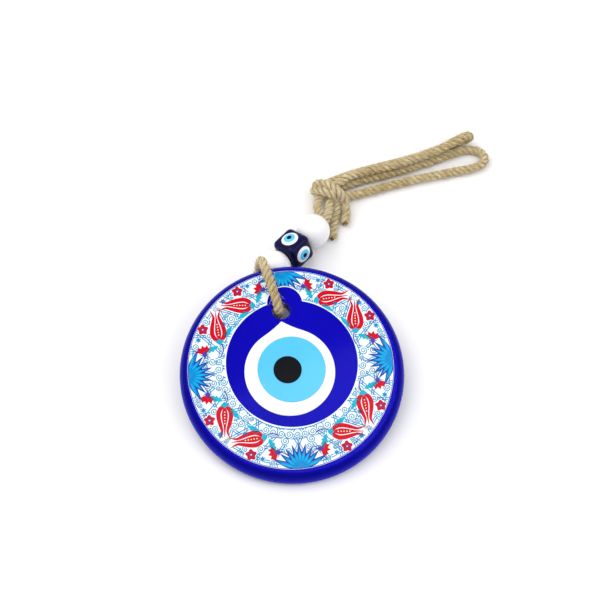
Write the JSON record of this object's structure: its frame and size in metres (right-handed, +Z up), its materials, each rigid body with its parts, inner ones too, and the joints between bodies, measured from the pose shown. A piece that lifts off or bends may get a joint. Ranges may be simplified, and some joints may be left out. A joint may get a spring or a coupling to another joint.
{
  "type": "evil eye wall ornament",
  "caption": "Round glass eye disc with a printed floral border, hung on a knotted jute rope with two ball beads and a cube bead between them.",
  "frame": {"origin": "on the ground under the middle of the glass pieces' bounding box, rope left out", "axes": "+Z up from the surface that the ornament lies on, +Y from the middle of the disc towards its hanging hole, +X to the right of that seen from above"},
  "size_m": [0.1853, 0.1857, 0.0306],
  "materials": {
    "cobalt_glass": "glossy cast glass, deep cobalt blue, nearly opaque",
    "dark_blue_glass": "glossy lampwork glass, very dark blue",
    "printed_film": "glossy print with a white ground and red, blue and turquoise flowers",
    "white_glass": "glossy opaque white glass",
    "light_blue_glass": "glossy opaque light blue glass",
    "black_glass": "glossy opaque black glass",
    "white_bead": "glossy white",
    "jute_rope": "natural three-strand jute, hairy, tan"
  },
  "bodies": {
    "disc": {"glass_disc": "cobalt_glass", "printed_ring": "printed_film", "eye_white": "white_glass", "eye_iris": "light_blue_glass", "eye_pupil": "black_glass"},
    "string": {"rope_disc_loop": "jute_rope", "rope_core": "jute_rope", "rope_neck_left": "jute_rope", "rope_neck_right": "jute_rope", "rope_knot": "jute_rope", "rope_tail_long": "jute_rope", "rope_tail_short": "jute_rope"},
    "lower_bead": {"lower_bead": "white_bead"},
    "cube": {"cube_bead": "dark_blue_glass", "cube_eye_white_1": "white_glass", "cube_eye_iris_1": "light_blue_glass", "cube_eye_pupil_1": "black_glass", "cube_eye_white_2": "white_glass", "cube_eye_iris_2": "light_blue_glass", "cube_eye_pupil_2": "black_glass", "cube_eye_white_3": "white_glass", "cube_eye_iris_3": "light_blue_glass", "cube_eye_pupil_3": "black_glass", "cube_eye_white_4": "white_glass", "cube_eye_iris_4": "light_blue_glass", "cube_eye_pupil_4": "black_glass"},
    "upper_bead": {"upper_bead": "white_bead"},
    "loop": {"rope_loop_front": "jute_rope", "rope_loop_back": "jute_rope"}
  },
  "joints": [
    {"name": "string_swing", "type": "hinge", "parent": "disc", "child": "string", "pos_m": [-0.0015, 0.01156, 0.017], "axis": [0, 0, 1], "range_deg": [-14, 8]},
    {"name": "lower_bead_spin", "type": "hinge", "parent": "string", "child": "lower_bead", "pos_m": [0.0006, 0.04456, 0.009], "axis": [0.788, 0.6157, 0], "continuous": true},
    {"name": "cube_spin", "type": "hinge", "parent": "string", "child": "cube", "pos_m": [0.01258, 0.05392, 0.009], "axis": [0.788, 0.6157, 0], "continuous": true},
    {"name": "upper_bead_spin", "type": "hinge", "parent": "string", "child": "upper_bead", "pos_m": [0.02456, 0.06328, 0.009], "axis": [0.788, 0.6157, 0], "continuous": true},
    {"name": "loop_lift", "type": "hinge", "parent": "string", "child": "loop", "pos_m": [0.048, 0.09146, 0.0106], "axis": [0.17, -0.9854, 0], "range_deg": [0, 70]}
  ]
}
